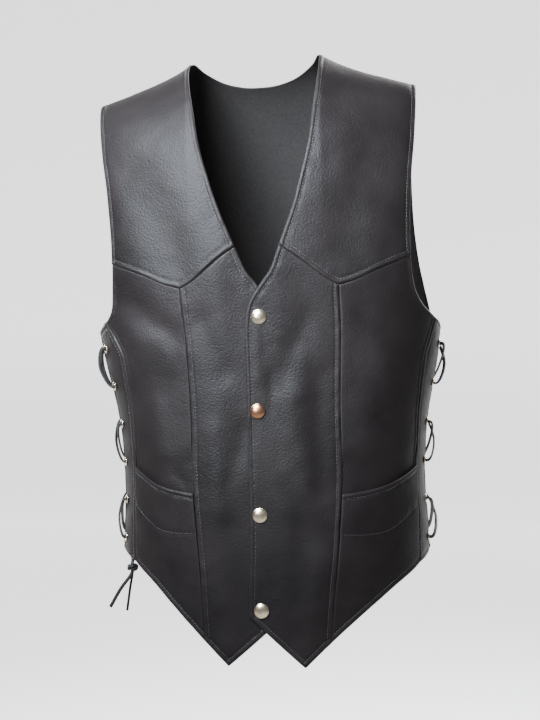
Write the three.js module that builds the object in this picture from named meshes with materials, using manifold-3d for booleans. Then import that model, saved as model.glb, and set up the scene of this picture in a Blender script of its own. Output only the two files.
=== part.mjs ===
// A leather vest as it is worn, empty: panels cut and sewn with topstitched seams, laced sides, four snaps.
// Millimetres, +Z up. The front faces -Y, and left and right are the wearer's own: left is +X.
// The origin is where the wearer's neck meets the shoulders, which is where the vest is held up.
// A place on the leather is a turn, in degrees round the body from the front centre, and a run, in
// millimetres up the cloth, which is the height below the chest and the way over the shoulder above it.
import * as THREE from "three";
import { mergeVertices } from "three/addons/utils/BufferGeometryUtils.js";
import Module from "manifold-3d";

const wasm = await Module();
wasm.setup();
const { clamp, degToRad, lerp, smoothstep } = THREE.MathUtils;

// Leather, seams and hardware
const LEATHER = 2.0; // two plies where the edges are turned, skived to one measure
const SEAM_GAP = 0.3; // between sewn edges
const LAYER_STEP = 3.0; // from one layer's face to the next one's, where two lie on each other
const YOKE_LAP = 0.8; // the yoke's turned edge stands this proud of the panels under it
const YOKE_LAP_REACH = 30;
const MOUTH_GAPE = 2.2; // the pocket's mouth stands this far off the pocket's back
const SNAP = { cap: 8.0, dome: 3.6, shank: 2.2, hole: 2.7, back: 6.0, seat: 0.4 };
const EYELET = { flange: 5.0, barrel: 3.1, bore: 2.6, hole: 3.5, lip: 1.0, seat: 0.6, rows: 6 };
const EYELET_INSET = 4.2; // turn from the strip's free edge to its eyelets
const EYELET_TOP = -327;
const EYELET_PITCH = 43;
const LACE = { radius: 1.6, sides: 6, under: 5.0 };

// Level sections of the body from the chest down, for a chest of about 1 m round
const SECTION_STEP = 70;
const SECTIONS = [
  { height: -265, half: 199, front: 114, back: 108 },
  { height: -335, half: 192, front: 117, back: 105 },
  { height: -405, half: 178, front: 122, back: 101 },
  { height: -475, half: 172, front: 129, back: 98 },
  { height: -545, half: 175, front: 132, back: 103 },
  { height: -615, half: 177, front: 133, back: 106 },
  { height: -685, half: 177, front: 133, back: 106 },
];
const CHEST = SECTIONS[0].height;
const SQUARENESS = 2.5; // exponent of the sections' superellipse
const SHOULDER_RUN = 300; // cloth from the chest to the shoulder's ridge
const RIDGE = CHEST + SHOULDER_RUN;
const SHOULDER = { neck: 74, slope: 0.3, drop: 10, ease: 22 };

// The stance: the shoulders lean to the wearer's right and tip, and the sides below the arm are turned
const STANCE = { reach: 560, lean: 25, leanPower: 1.3, tip: degToRad(3.7), tipPower: 1.5 };
const SIDE_TURN = { most: 6, from: 255, to: 330 };

// Soft folds of the worn leather: a line from one place to another, its half width and its height
const TURN_MM = 2.9; // one degree of turn on the front, for the folds' widths
const FOLDS = [
  { turn: 25, run: -296, toTurn: 8, toRun: -366, width: 17, rise: -3.2 },
  { turn: 18, run: -385, toTurn: 18, toRun: -470, width: 20, rise: 2.0 },
  { turn: 24, run: -560, toTurn: 19, toRun: -665, width: 20, rise: 2.4 },
  { turn: -30, run: -300, toTurn: -20, toRun: -350, width: 17, rise: -2.2 },
  { turn: -24, run: -420, toTurn: -22, toRun: -600, width: 20, rise: 2.0 },
  { turn: -50, run: -400, toTurn: -48, toRun: -470, width: 20, rise: 2.6 },
  { turn: 52, run: -330, toTurn: 44, toRun: -440, width: 20, rise: 2.0 },
  { turn: -56, run: -150, toTurn: -40, toRun: -235, width: 24, rise: -3.0 },
  { turn: 56, run: -140, toTurn: 42, toRun: -225, width: 24, rise: -3.0 },
];

// The cut: edges and seams as places on the leather, for the wearer's left side
const NECK_EDGE = [
  { turn: 34, run: RIDGE },
  { turn: 34, run: -14 },
  { turn: 33, run: -60 },
  { turn: 31, run: -98 },
  { turn: 28.4, run: -138 },
  { turn: 24.6, run: -168 },
  { turn: 19.5, run: -198 },
  { turn: 12, run: -229 },
];
const ARMHOLE = [
  { turn: 71.3, run: RIDGE },
  { turn: 71.2, run: -20 },
  { turn: 70.6, run: -66 },
  { turn: 69.2, run: -114 },
  { turn: 67.2, run: -160 },
  { turn: 65.9, run: -200 },
  { turn: 65.4, run: -236 },
];
const YOKE_SEAM = [
  { turn: 12, run: -229 },
  { turn: 19.5, run: -237 },
  { turn: 26.5, run: -246 },
  { turn: 33.5, run: -256 },
  { turn: 39, run: -261.5 },
  { turn: 45.8, run: -257 },
  { turn: 53, run: -249 },
  { turn: 59.5, run: -242 },
  { turn: 65.4, run: -236 },
];
const YOKE_POINT = 4; // the row of YOKE_SEAM where it points down and the long seam starts
const FRONT_EDGE = [
  { turn: 12, run: -229 },
  { turn: 7.2, run: -247 },
  { turn: 1.8, run: -258 },
  { turn: -3, run: -268 },
  { turn: -6.5, run: -282 },
  { turn: -8.2, run: -306 },
  { turn: -8.2, run: -350 },
  { turn: -8.1, run: -400 },
  { turn: -7.8, run: -450 },
  { turn: -7.4, run: -500 },
  { turn: -7.8, run: -560 },
  { turn: -8, run: -618 },
];
const LONG_SEAM = [
  { turn: 39, run: -261.5 },
  { turn: 38.2, run: -300 },
  { turn: 37, run: -340 },
  { turn: 35.5, run: -400 },
  { turn: 34.4, run: -460 },
  { turn: 32.2, run: -525 },
  { turn: 30, run: -585 },
  { turn: 28.5, run: -645 },
];
const STRIP_SEAM = [
  { turn: 74, run: -297 },
  { turn: 68.6, run: -324 },
  { turn: 66.5, run: -355 },
  { turn: 66.3, run: -460 },
  { turn: 65.5, run: -566 },
];
const STRIP_EDGE = [
  { turn: 84, run: -308 },
  { turn: 82.4, run: -340 },
  { turn: 80.8, run: -390 },
  { turn: 80.5, run: -450 },
  { turn: 80.5, run: -505 },
  { turn: 80.5, run: -556 },
];
const UNDERARM = [
  { turn: 65.4, run: -236 },
  { turn: 66.3, run: -264 },
  { turn: 68.8, run: -284 },
  { turn: 74, run: -297 },
];
const POCKET_MOUTH = [
  { turn: 33.7, run: -485 },
  { turn: 42, run: -482 },
  { turn: 50, run: -477 },
  { turn: 58, run: -468.5 },
  { turn: 66.3, run: -459 },
];
const POCKET_BAG = [
  { turn: 32.1, run: -528 },
  { turn: 42, run: -529 },
  { turn: 50, run: -526 },
  { turn: 58, run: -514 },
  { turn: 66.0, run: -500 },
];
const FRONT_HEM = [
  { turn: -8, run: -618 },
  { turn: 4.8, run: -645 },
  { turn: 17.7, run: -672 },
  { turn: 28.5, run: -645 },
];
const SIDE_HEM = [
  { turn: 28.5, run: -645 },
  { turn: 36, run: -626 },
  { turn: 44.5, run: -605 },
  { turn: 54, run: -584 },
  { turn: 65.5, run: -566 },
];
const SNAP_PLACES = [
  { turn: -0.3, run: -293 },
  { turn: -2.6, run: -395 },
  { turn: -2.7, run: -507 },
  { turn: -2.3, run: -610 },
];
// Where each lace is knotted: in the open below the right side, tucked in behind the left strip
const LACE_KNOTS = {
  right: { turn: 71.5, run: -575, out: -4, tail: 47, splay: 16 },
  left: { turn: 75, run: -508, out: -13, tail: 38, splay: 3 },
};
// How far each lace stands off at an eyelet, at a crossing, and at the strand that goes over it
const LACE_SLACKNESS = {
  right: { stand: 3.0, cross: 3.0, over: 3.4 },
  left: { stand: 4.6, cross: 4.6, over: 4.2 },
};
const KNOT_RING = 3.4 * LACE.radius;
const LACE_SLACK = { turn: 0.5, run: 0.4, in: 4 }; // shares of the way from knot to eyelet, and how far inside
// The two ends through the knot and down: drop is in mm and shares of the tail, spread in shares of its splay
const TAIL_ROUTE = [
  { away: 1.8, drop: -5, share: 0, longer: 0, spread: 0, apart: 0 },
  { away: 1.8, drop: 5, share: 0, longer: 0, spread: 0, apart: 0 },
  { away: 5, drop: 0, share: 0.5, longer: 0, spread: 0.5, apart: 0.28 },
  { away: 7, drop: 0, share: 1, longer: 3, spread: 0.98, apart: 0.52 },
];
// The back, counted from the front centre all the way round, and mirrored for the other half
const BACK_HEM = -558;
const BACK_NECK = [
  { turn: 146, run: RIDGE },
  { turn: 149, run: -6 },
  { turn: 157, run: -34 },
  { turn: 168, run: -47 },
  { turn: 180, run: -50 },
];
const BACK_ARMHOLE = [
  { turn: 108.7, run: RIDGE },
  { turn: 109.4, run: -40 },
  { turn: 111, run: -100 },
  { turn: 112, run: -160 },
  { turn: 111.5, run: -215 },
  { turn: 108.5, run: -262 },
  { turn: 102, run: -294 },
];
const BACK_STRIP_SEAM = [
  { turn: 102, run: -294 },
  { turn: 106.4, run: -326 },
  { turn: 108, run: -360 },
  { turn: 108, run: -426 },
  { turn: 108, run: -492 },
  { turn: 108, run: BACK_HEM },
];
const BACK_STRIP_EDGE = [
  { turn: 91, run: -308 },
  { turn: 92.6, run: -340 },
  { turn: 94, run: -390 },
  { turn: 94, run: -448 },
  { turn: 94, run: -504 },
  { turn: 94, run: BACK_HEM },
];

const finish = (color, roughness, metalness) => new THREE.MeshStandardMaterial({ color, roughness, metalness });
const MATERIAL = {
  leather: finish(0x1d1c1f, 0.46, 0.0),
  backLeather: finish(0x19181a, 0.5, 0.0),
  nickel: finish(0xb9b4a8, 0.28, 1.0),
  lace: finish(0x131214, 0.55, 0.0),
};

// One row of a table at any height, on a smooth curve through the rows
function sectionAt(height) {
  const place = clamp((CHEST - height) / SECTION_STEP, 0, SECTIONS.length - 1.001);
  const row = Math.floor(place);
  const t = place - row;
  const pick = (column) => {
    const value = (i) => SECTIONS[clamp(i, 0, SECTIONS.length - 1)][column];
    const slopeIn = (value(row + 1) - value(row - 1)) / 2;
    const slopeOut = (value(row + 2) - value(row)) / 2;
    const rise = value(row + 1) - value(row);
    const curve = (slopeIn + slopeOut - 2 * rise) * t ** 3 + (3 * rise - 2 * slopeIn - slopeOut) * t ** 2;
    return value(row) + slopeIn * t + curve;
  };
  return { half: pick("half"), front: pick("front"), back: pick("back") };
}

function shoulderHeight(x) {
  const out = Math.max(Math.abs(x) - SHOULDER.neck, 0);
  return -(SHOULDER.slope * out + SHOULDER.drop * (1 - Math.exp(-out / SHOULDER.ease)));
}

function foldHeight(turn, run) {
  let height = 0;
  for (const fold of FOLDS) {
    const along = new THREE.Vector2((fold.toTurn - fold.turn) * TURN_MM, fold.toRun - fold.run);
    const from = new THREE.Vector2((turn - fold.turn) * TURN_MM, run - fold.run);
    const share = clamp(from.dot(along) / along.lengthSq(), 0, 1);
    const distance = from.sub(along.multiplyScalar(share)).length();
    height += fold.rise * Math.exp(-((distance / fold.width) ** 2));
  }
  return height;
}

function stand(x, y, z) {
  const rise = clamp(1 + z / STANCE.reach, 0, 1.1);
  const tip = STANCE.tip * rise ** STANCE.tipPower;
  const shift = STANCE.lean * (1 - rise ** STANCE.leanPower);
  return new THREE.Vector3(shift + x * Math.cos(tip), y, z + x * Math.sin(tip));
}

// The smooth form that every panel lies on, before folds
function form(turn, run) {
  const settle = smoothstep(-run, SIDE_TURN.from, SIDE_TURN.to);
  const angle = degToRad(turn + SIDE_TURN.most * settle * Math.sin(degToRad(turn)) ** 4);
  const section = sectionAt(Math.min(run, CHEST));
  const depth = Math.cos(angle) > 0 ? section.front : section.back;
  const across = (Math.abs(Math.sin(angle)) / section.half) ** SQUARENESS;
  const along = (Math.abs(Math.cos(angle)) / depth) ** SQUARENESS;
  const radius = (across + along) ** (-1 / SQUARENESS);
  const x = radius * Math.sin(angle);
  const y = -radius * Math.cos(angle);
  if (run <= CHEST) return stand(x, y, run);
  const over = ((run - CHEST) / SHOULDER_RUN) * (Math.PI / 2);
  return stand(x, y * Math.cos(over), CHEST + (shoulderHeight(x) - CHEST) * Math.sin(over));
}

// A place on the leather, the given distance out from the form, and the way out there
function leatherFrame(turn, run) {
  const nudge = 0.05;
  const round = form(turn + nudge, run).sub(form(turn - nudge, run));
  const up = form(turn, run + nudge).sub(form(turn, run - nudge));
  return { point: form(turn, run), out: round.cross(up).normalize(), up: up.normalize() };
}
function leatherPoint(turn, run, out) {
  const frame = leatherFrame(turn, run);
  return frame.point.addScaledVector(frame.out, out + foldHeight(turn, run));
}

// A share of the way along a table of places, each step between two rows counting alike
function trace(rows) {
  return (share) => {
    const place = clamp(share, 0, 1) * (rows.length - 1);
    const row = Math.min(Math.floor(place), rows.length - 2);
    const t = place - row;
    return {
      turn: lerp(rows[row].turn, rows[row + 1].turn, t),
      run: lerp(rows[row].run, rows[row + 1].run, t),
    };
  };
}
const chain = (...tables) => tables.flatMap((rows, i) => (i ? rows.slice(1) : rows));
const straight = (from, to) => trace([from, to]);
// The part of a seam that runs mostly up and down, stopped at each given run
function seamBetween(rows, runs) {
  const stop = (run) => {
    const after = Math.max(1, rows.findIndex((row) => row.run <= run + 1e-6));
    const t = (run - rows[after - 1].run) / (rows[after].run - rows[after - 1].run);
    return { turn: lerp(rows[after - 1].turn, rows[after].turn, t), run };
  };
  return trace(runs.map(stop));
}
const otherHalf = (rows) => rows.map(({ turn, run }) => ({ turn: 360 - turn, run }));

// The places of a panel's grid, ruled between its four edges
function panelGrid({ top, bottom, left, right, cols, rows }) {
  const grid = [];
  for (let j = 0; j <= rows; j++) {
    for (let i = 0; i <= cols; i++) {
      const u = i / cols;
      const v = j / rows;
      const blend = (key) => {
        const sides = lerp(left(v)[key], right(v)[key], u);
        const ends = lerp(top(u)[key], bottom(u)[key], v);
        const upper = lerp(top(0)[key], top(1)[key], u);
        const lower = lerp(bottom(0)[key], bottom(1)[key], u);
        return sides + ends - lerp(upper, lower, v);
      };
      grid.push({ turn: blend("turn"), run: blend("run"), u, v });
    }
  }
  return grid;
}

// A closed wall of leather on the form: an outer face, an inner face and a rim, its edges drawn in
// by half a seam's gap
function wall(cut, side) {
  const { cols, rows, out = () => 0 } = cut;
  const grid = panelGrid(cut);
  const faces = [0, -LEATHER].map((level) =>
    grid.map((place) => leatherPoint(side * place.turn, place.run, level + out(place))),
  );
  const id = (i, j) => j * (cols + 1) + i;
  for (const face of faces) {
    const drawn = face.map((point) => point.clone());
    const draw = (edge, inner) => {
      const pull = face[inner].clone().sub(face[edge]).setLength(SEAM_GAP / 2);
      drawn[edge].add(pull);
    };
    for (let i = 0; i <= cols; i++) {
      draw(id(i, 0), id(i, 1));
      draw(id(i, rows), id(i, rows - 1));
    }
    for (let j = 0; j <= rows; j++) {
      draw(id(0, j), id(1, j));
      draw(id(cols, j), id(cols - 1, j));
    }
    face.splice(0, face.length, ...drawn);
  }
  const index = [];
  const inner = grid.length;
  const triangle = (a, b, c) => (side > 0 ? index.push(a, b, c) : index.push(a, c, b));
  const quad = (a, b, c, d) => {
    triangle(a, b, c);
    triangle(a, c, d);
  };
  for (let j = 0; j < rows; j++) {
    for (let i = 0; i < cols; i++) {
      const [a, b, c, d] = [id(i, j), id(i, j + 1), id(i + 1, j + 1), id(i + 1, j)];
      quad(a, b, c, d);
      quad(inner + a, inner + d, inner + c, inner + b);
    }
  }
  const rim = (a, b) => quad(b, a, inner + a, inner + b);
  for (let i = 0; i < cols; i++) {
    rim(id(i + 1, 0), id(i, 0));
    rim(id(i, rows), id(i + 1, rows));
  }
  for (let j = 0; j < rows; j++) {
    rim(id(0, j), id(0, j + 1));
    rim(id(cols, j + 1), id(cols, j));
  }
  const positions = faces.flat().flatMap((point) => point.toArray());
  const geometry = new THREE.BufferGeometry();
  geometry.setAttribute("position", new THREE.Float32BufferAttribute(positions, 3));
  geometry.setIndex(index);
  return geometry;
}

// Solids for drilling and joining
function solidOf(geometry) {
  const bare = geometry.clone().deleteAttribute("normal").deleteAttribute("uv");
  const merged = mergeVertices(bare, 1e-4);
  const vertProperties = new Float32Array(merged.attributes.position.array);
  const triVerts = new Uint32Array(merged.index.array);
  return new wasm.Manifold(new wasm.Mesh({ numProp: 3, vertProperties, triVerts }));
}
function geometryOf(solid) {
  const { vertProperties, triVerts } = solid.getMesh();
  const geometry = new THREE.BufferGeometry();
  geometry.setAttribute("position", new THREE.BufferAttribute(vertProperties, 3));
  geometry.setIndex(new THREE.BufferAttribute(triVerts, 1));
  return geometry;
}
function drilled(geometry, places, side, radius) {
  let solid = solidOf(geometry);
  for (const { turn, run } of places) {
    const drill = new THREE.CylinderGeometry(radius, radius, 20, 8);
    solid = solid.subtract(solidOf(drill.applyMatrix4(fittingMatrix(side * turn, run, 0))));
  }
  return geometryOf(solid);
}

// Seats a turned fitting on the leather: its axis, +Y, points out
function fittingMatrix(turn, run, out) {
  const frame = leatherFrame(turn, run);
  const across = frame.out.clone().cross(frame.up).normalize();
  const basis = new THREE.Matrix4().makeBasis(across, frame.out, across.clone().cross(frame.out));
  return basis.setPosition(frame.point.addScaledVector(frame.out, out + foldHeight(turn, run)));
}
function turned(profile, segments) {
  const points = profile.map(([radius, height]) => new THREE.Vector2(radius, height));
  return new THREE.LatheGeometry(points, segments);
}

// How far a front stands off the form: the left laps over the right between the snaps
const lapOut = (side) => (place) => (side * LAYER_STEP * (1 - smoothstep(place.turn, 9, 24))) / 2;
const yokeOut = (place) => YOKE_LAP * smoothstep(place.v, 1 - YOKE_LAP_REACH / SHOULDER_RUN, 1);
const bagOut = ({ run }) => -(LAYER_STEP / 2) * smoothstep(-run, 430, 455);
const pocketOut = (place) => {
  const layer = (LAYER_STEP / 2) * (1 - smoothstep(place.v, 0.3, 0.8));
  const gape = MOUTH_GAPE * Math.sin(Math.PI * place.u) ** 2 * (1 - smoothstep(place.v, 0, 0.25));
  return layer + gape;
};

const vest = new THREE.Group();
function add(name, geometry, material) {
  const flat = geometry.index ? geometry.toNonIndexed() : geometry;
  flat.computeVertexNormals();
  const mesh = new THREE.Mesh(flat, material);
  mesh.name = name;
  vest.add(mesh);
}

const eyeletRuns = Array.from({ length: EYELET.rows }, (_, row) => EYELET_TOP - row * EYELET_PITCH);
const eyeletsOn = (edge, inset) =>
  eyeletRuns.map((run) => ({ turn: seamBetween(edge, [run, run])(0).turn + inset, run }));
const frontEyelets = eyeletsOn(STRIP_EDGE, -EYELET_INSET);
const backEyelets = eyeletsOn(BACK_STRIP_EDGE, EYELET_INSET);

const centreRuns = [-261.5, -275, -288, -302, -320, -340, -380, -425, -470, -525, -585, -645];
const sideRuns = [-261.5, -275, -288, -300, -330, -360, -410, -460, -528];
const lowerRuns = [-485, -510, -545, -580, -614, -645];
const stripRuns = [-297, -324, -355, -400, -455, -500, -545, -566];

function frontPanels(side, name) {
  add(
    `yoke_${name}`,
    wall(
      {
        top: straight(NECK_EDGE[0], ARMHOLE[0]),
        bottom: trace(YOKE_SEAM),
        left: trace(NECK_EDGE),
        right: trace(ARMHOLE),
        cols: 16,
        rows: 10,
        out: yokeOut,
      },
      side,
    ),
    MATERIAL.leather,
  );
  const centre = wall(
    {
      top: trace(YOKE_SEAM.slice(0, YOKE_POINT + 1)),
      bottom: trace(FRONT_HEM),
      left: trace(FRONT_EDGE),
      right: seamBetween(LONG_SEAM, centreRuns),
      cols: 12,
      rows: 22,
      out: lapOut(side),
    },
    side,
  );
  const snaps = SNAP_PLACES.map(({ turn, run }) => ({ turn: turn * side, run }));
  add(`front_centre_${name}`, drilled(centre, snaps, side, SNAP.hole), MATERIAL.leather);
  add(
    `front_side_${name}`,
    wall(
      {
        top: trace(YOKE_SEAM.slice(YOKE_POINT)),
        bottom: trace(POCKET_BAG),
        left: seamBetween(LONG_SEAM, sideRuns),
        right: trace([
          ...UNDERARM,
          ...[-324, -355, -400, -455, -500].map((run) => seamBetween(STRIP_SEAM, [run, run])(0)),
        ]),
        cols: 8,
        rows: 16,
        out: bagOut,
      },
      side,
    ),
    MATERIAL.leather,
  );
  add(
    `pocket_front_${name}`,
    wall(
      {
        top: trace(POCKET_MOUTH),
        bottom: trace(SIDE_HEM),
        left: seamBetween(LONG_SEAM, lowerRuns),
        right: seamBetween(STRIP_SEAM, [-459, -480, -502, -524, -545, -566]),
        cols: 8,
        rows: 12,
        out: pocketOut,
      },
      side,
    ),
    MATERIAL.leather,
  );
}

function sideStrips(side, name) {
  const front = wall(
    {
      top: straight(STRIP_SEAM[0], STRIP_EDGE[0]),
      bottom: straight(STRIP_SEAM.at(-1), STRIP_EDGE.at(-1)),
      left: seamBetween(STRIP_SEAM, stripRuns),
      right: trace(STRIP_EDGE),
      cols: 4,
      rows: 14,
    },
    side,
  );
  add(`strip_front_${name}`, drilled(front, frontEyelets, side, EYELET.hole), MATERIAL.leather);
  const back = wall(
    {
      top: straight(BACK_STRIP_EDGE[0], BACK_STRIP_SEAM[0]),
      bottom: straight(BACK_STRIP_EDGE.at(-1), BACK_STRIP_SEAM.at(-1)),
      left: trace(BACK_STRIP_EDGE),
      right: trace(BACK_STRIP_SEAM),
      cols: 4,
      rows: 10,
    },
    side,
  );
  add(`strip_back_${name}`, drilled(back, backEyelets, side, EYELET.hole), MATERIAL.backLeather);
}

function backPanel() {
  const ridge = [BACK_ARMHOLE[0], trace([BACK_ARMHOLE[0], BACK_NECK[0]])(0.5)];
  const half = [...ridge, ...BACK_NECK];
  const edge = chain(BACK_ARMHOLE, BACK_STRIP_SEAM);
  const top = [...half, ...otherHalf(half).reverse().slice(1)];
  add(
    "back",
    wall(
      {
        top: trace(top),
        bottom: straight(edge.at(-1), otherHalf(edge).at(-1)),
        left: trace(edge),
        right: trace(otherHalf(edge)),
        cols: 18,
        rows: 22,
      },
      1,
    ),
    MATERIAL.backLeather,
  );
}

// A closed snap: the cap on the lapping front, its stud on the front under it
function snaps() {
  const { cap, dome, shank, back, seat } = SNAP;
  const capProfile = [
    [0, -LEATHER - 0.1],
    [shank, -LEATHER - 0.1],
    [shank, seat],
    [cap, seat],
    [cap, seat + 0.9],
    [cap * 0.78, seat + dome * 0.7],
    [0, seat + dome],
  ];
  const studProfile = [
    [0, -LEATHER - 1.2],
    [back, -LEATHER - 1.0],
    [back, -LEATHER - seat - 0.1],
    [shank, -LEATHER - seat - 0.1],
    [shank, 0.1],
    [0, 0.1],
  ];
  SNAP_PLACES.forEach(({ turn, run }, i) => {
    const capGeometry = turned(capProfile, 14);
    capGeometry.applyMatrix4(fittingMatrix(turn, run, LAYER_STEP / 2));
    add(`snap_cap_${i + 1}`, capGeometry, MATERIAL.nickel);
    const studGeometry = turned(studProfile, 10);
    studGeometry.applyMatrix4(fittingMatrix(turn, run, -LAYER_STEP / 2));
    add(`snap_stud_${i + 1}`, studGeometry, MATERIAL.nickel);
  });
}

function eyelets(side, name, places) {
  const { flange, barrel, bore, lip, seat } = EYELET;
  const profile = [
    [bore, -LEATHER - seat - 0.7],
    [flange - 0.6, -LEATHER - seat],
    [barrel, -LEATHER - seat],
    [barrel, seat],
    [flange, seat],
    [flange - 0.9, seat + lip],
    [bore, seat + lip * 0.6],
    [bore, -LEATHER - seat - 0.7],
  ];
  places.forEach(({ turn, run }, row) => {
    const geometry = turned(profile, 8).applyMatrix4(fittingMatrix(side * turn, run, 0));
    add(`eyelet_${name}_${row + 1}`, geometry, MATERIAL.nickel);
  });
}

// A curve stepped evenly from point to point, so that short bends get as many steps as long spans
class LaceCurve extends THREE.CatmullRomCurve3 {
  getPointAt(share, target) {
    return this.getPoint(share, target);
  }
  getTangentAt(share, target) {
    return this.getTangent(share, target);
  }
}

// The lace starts and ends in two tails below a knot, and crosses outside and inside by turns
function laceRoute(side, name) {
  const { stand: standOff, cross, over } = LACE_SLACKNESS[name];
  const middle = (a, b, out) => {
    const turn = (a.turn + b.turn) / 2;
    return leatherPoint(side * turn, (a.run + b.run) / 2, out);
  };
  const passOut = (eyelet) =>
    [-LEATHER - standOff, -LEATHER / 2, standOff].map((out) => leatherPoint(side * eyelet.turn, eyelet.run, out));
  const passIn = (eyelet) => passOut(eyelet).reverse();
  const last = EYELET.rows - 1;
  const rungs = (start, lift) => {
    const points = [];
    for (let row = 0; row < last; row++) {
      const here = (row + start) % 2 ? backEyelets : frontEyelets;
      const there = (row + start) % 2 ? frontEyelets : backEyelets;
      const outside = row % 2 === 0;
      const depth = outside ? cross + lift : -LEATHER - LACE.under - lift;
      points.push(middle(here[row], there[row + 1], depth));
      points.push(...(outside ? passIn : passOut)(there[row + 1]));
    }
    return points;
  };
  const bar = middle(frontEyelets[0], backEyelets[0], -LEATHER - LACE.under);
  const down = [...passOut(frontEyelets[0]), ...rungs(0, 0)];
  const up = [...rungs(1, over).reverse(), ...passOut(backEyelets[0]).reverse()];
  const { turn, run, out, tail, splay } = LACE_KNOTS[name];
  const knot = leatherPoint(side * turn, run, out);
  const ending = (hand, eyelet) => {
    const slackTurn = lerp(turn, eyelet.turn, LACE_SLACK.turn);
    const slackRun = lerp(run, eyelet.run, LACE_SLACK.run);
    const hanging = TAIL_ROUTE.map((row) => {
      const outward = side * splay * (row.spread - hand * row.apart);
      const down = row.drop + tail * row.share + hand * row.longer;
      return knot.clone().add(new THREE.Vector3(outward, hand * row.away, -down));
    });
    return [leatherPoint(side * slackTurn, slackRun, out - LACE_SLACK.in), ...hanging];
  };
  const front = ending(-1, frontEyelets[last]);
  const back = ending(1, backEyelets[last]);
  return { knot, points: [...front.reverse(), ...up, bar, ...down, ...back] };
}
function lace(side, name) {
  const { knot, points } = laceRoute(side, name);
  const path = new LaceCurve(points, false, "centripetal");
  const section = new THREE.Shape().absarc(0, 0, LACE.radius, 0, Math.PI * 2);
  const tube = new THREE.ExtrudeGeometry(section, {
    steps: 2 * (points.length - 1),
    curveSegments: LACE.sides / 2,
    bevelEnabled: false,
    extrudePath: path,
  });
  add(`lace_${name}`, tube, MATERIAL.lace);
  const wrap = new THREE.TorusGeometry(KNOT_RING, LACE.radius, 6, 14);
  add(`lace_knot_${name}`, wrap.translate(knot.x, knot.y, knot.z), MATERIAL.lace);
}

for (const [side, name] of [[1, "left"], [-1, "right"]]) {
  frontPanels(side, name);
  sideStrips(side, name);
  eyelets(side, `front_${name}`, frontEyelets);
  eyelets(side, `back_${name}`, backEyelets);
  lace(side, name);
}
backPanel();
snaps();

export default vest;
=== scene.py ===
import math

import bpy
import numpy as np
from mathutils import Matrix, Vector
from mathutils.bvhtree import BVHTree


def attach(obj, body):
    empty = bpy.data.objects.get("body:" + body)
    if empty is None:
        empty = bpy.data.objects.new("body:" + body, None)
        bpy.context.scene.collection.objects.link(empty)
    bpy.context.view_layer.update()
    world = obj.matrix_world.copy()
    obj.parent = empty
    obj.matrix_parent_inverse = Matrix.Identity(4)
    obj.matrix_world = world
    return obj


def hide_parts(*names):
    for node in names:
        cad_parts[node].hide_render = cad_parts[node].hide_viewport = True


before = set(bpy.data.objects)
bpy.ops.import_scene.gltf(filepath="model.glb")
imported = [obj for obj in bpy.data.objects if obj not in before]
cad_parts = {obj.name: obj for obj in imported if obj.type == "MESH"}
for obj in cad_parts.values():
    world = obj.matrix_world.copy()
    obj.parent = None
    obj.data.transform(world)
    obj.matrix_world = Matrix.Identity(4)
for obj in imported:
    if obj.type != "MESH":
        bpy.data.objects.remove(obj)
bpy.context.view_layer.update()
MM = 0.001

# The photograph's view: the camera looks along +Y, turned to the wearer's left and a little from above
PHOTO = {"height": 720, "mm_per_pixel": 1.15, "sensor": 36.0}
VIEW = {"distance": 2000.0, "turn": math.radians(5.2), "above": math.radians(2.0)}
AIM = (16.5, -0.8, -343.9)

# Leather, seams and hardware
LEATHER = 2.0
SEAM_GAP = 0.3
LAYER_STEP = 3.0
YOKE_LAP = 0.8
YOKE_LAP_REACH = 30
MOUTH_GAPE = 2.2
SNAP = {"cap": 8.0, "dome": 3.6, "shank": 2.2, "back": 6.0, "seat": 0.4}
# The snap cap whose metal is a reddish copper colour instead of nickel
REDDISH_CAP = 2
EYELET = {"flange": 5.0, "barrel": 3.1, "bore": 2.6, "lip": 1.0, "seat": 0.6, "rows": 6}
EYELET_INSET = 4.2
ALLOWANCE = 2.3
EYELET_TOP = -327
EYELET_PITCH = 43
LACE = {"radius": 1.6, "under": 5.0, "half_width": 2.0, "flatness": 0.62}

# Level sections of the body from the chest down: half width, depth in front, depth behind
SECTION_STEP = 70
CHEST = -265
SECTIONS = np.array(
    [
        [199, 114, 108],
        [192, 117, 105],
        [178, 122, 101],
        [172, 129, 98],
        [175, 132, 103],
        [177, 133, 106],
        [177, 133, 106],
    ]
)
SQUARENESS = 2.5
SHOULDER_RUN = 300
RIDGE = CHEST + SHOULDER_RUN
SHOULDER = {"neck": 74, "slope": 0.3, "drop": 10, "ease": 22}
STANCE = {"reach": 560, "lean": 25, "lean_power": 1.3, "tip": math.radians(3.7), "tip_power": 1.5}
SIDE_TURN = {"most": 6, "from": 255, "to": 330}

# Soft folds: turn, run, to turn, to run, half width, height
TURN_MM = 2.9
FOLDS = [
    (25, -296, 8, -366, 17, -3.2),
    (18, -385, 18, -470, 20, 2.0),
    (24, -560, 19, -665, 20, 2.4),
    (-30, -300, -20, -350, 17, -2.2),
    (-24, -420, -22, -600, 20, 2.0),
    (-50, -400, -48, -470, 20, 2.6),
    (52, -330, 44, -440, 20, 2.0),
    (-56, -150, -40, -235, 24, -3.0),
    (56, -140, 42, -225, 24, -3.0),
]

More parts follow.
